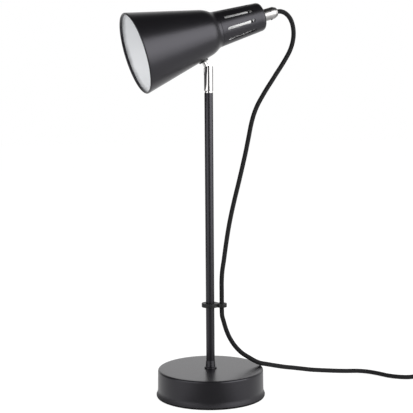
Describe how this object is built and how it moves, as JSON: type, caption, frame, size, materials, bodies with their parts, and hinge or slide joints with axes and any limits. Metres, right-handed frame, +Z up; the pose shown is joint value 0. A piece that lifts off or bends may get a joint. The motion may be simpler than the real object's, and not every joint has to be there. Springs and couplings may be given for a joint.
{
  "type": "desk lamp",
  "caption": "Adjustable desk lamp: round weighted base, thin pole, chrome knuckle, conical shade with a slotted rear cap, textile cord with a pole clip, inline switch and plug",
  "frame": {"origin": "centre of the underside of the foot pad, on the surface the lamp stands on", "axes": "+Z up the pole; -X is where the shade's mouth points at rest; the cord leaves towards +X"},
  "size_m": [0.5432, 0.2207, 0.5051],
  "materials": {
    "black_paint": "satin black powder coat outside, white inside the shade",
    "iron": "rough cast",
    "pad_rubber": "matt",
    "zinc": "zinc plated",
    "black_metal": "satin black",
    "chrome": "polished",
    "friction_plastic": "plain",
    "clip_rubber": "smooth matt",
    "white_plastic": "plain white",
    "porcelain": "glazed white",
    "plated_steel": "bright",
    "brass": "plain",
    "wire_insulation": "brown and blue insulation",
    "bulb_glass": "frosted white",
    "braid": "black textile braid",
    "switch_plastic": "fine satin",
    "rocker_plastic": "satin",
    "pin_metal": "nickel plated"
  },
  "bodies": {
    "root": {"base_cover": "black_paint", "base_weight": "iron", "base_pad": "pad_rubber", "foot_stud": "zinc", "foot_washer": "zinc", "foot_nut": "zinc", "foot_collar": "black_metal", "pole_tube": "black_paint", "pole_foot_bush": "zinc", "pole_top_bush": "chrome", "cord_foot": "braid", "cord_lead": "braid", "cord_coil": "braid", "cord_tail": "braid", "switch_lower": "switch_plastic", "switch_upper": "switch_plastic", "switch_screws": "zinc", "switch_reliefs": "switch_plastic", "switch_contacts": "brass", "switch_wires": "wire_insulation", "plug_body": "switch_plastic", "plug_pins": "pin_metal", "plug_sleeves": "switch_plastic"},
    "knuckle": {"knuckle_fork": "chrome", "knuckle_pin": "chrome", "knuckle_washers": "friction_plastic", "swivel_washer": "zinc", "swivel_nut": "zinc", "cord_arc": "braid"},
    "head": {"knuckle_link": "chrome", "shade_washer": "black_metal", "link_lock_washer": "zinc", "link_nut": "zinc", "shade": "black_paint", "rear_cap": "black_paint", "shade_ring": "white_plastic", "holder_body": "porcelain", "holder_gasket": "clip_rubber", "holder_dome": "plated_steel", "holder_shell": "brass", "holder_contacts": "brass", "holder_leads": "wire_insulation", "nipple": "zinc", "nipple_nut": "zinc", "cord_gland": "chrome", "gland_bush": "clip_rubber", "gland_screw": "black_metal", "bulb_globe": "bulb_glass", "bulb_collar": "white_plastic", "bulb_cap": "plated_steel", "cord_head": "braid"},
    "clip": {"cord_clip": "clip_rubber"},
    "rocker": {"switch_rocker": "rocker_plastic"}
  },
  "joints": [
    {"name": "swivel", "type": "hinge", "parent": "root", "child": "knuckle", "pos_m": [0, 0, 0.4], "axis": [0, 0, 1], "range_deg": [-90, 90], "deforming": ["cord_arc"]},
    {"name": "head_tilt", "type": "hinge", "parent": "knuckle", "child": "head", "pos_m": [0, 0, 0.4194], "axis": [0, 1, 0], "range_deg": [-55, 45], "deforming": ["cord_head"]},
    {"name": "clip_slide", "type": "slide", "parent": "root", "child": "clip", "axis": [0, 0, 1], "range_m": [-0.0075, 0.026]},
    {"name": "switch_press", "type": "hinge", "parent": "root", "child": "rocker", "pos_m": [0.34216, -0.04491, 0.0125], "axis": [0.3746, 0.9272, 0], "range_deg": [-16, 0]}
  ]
}
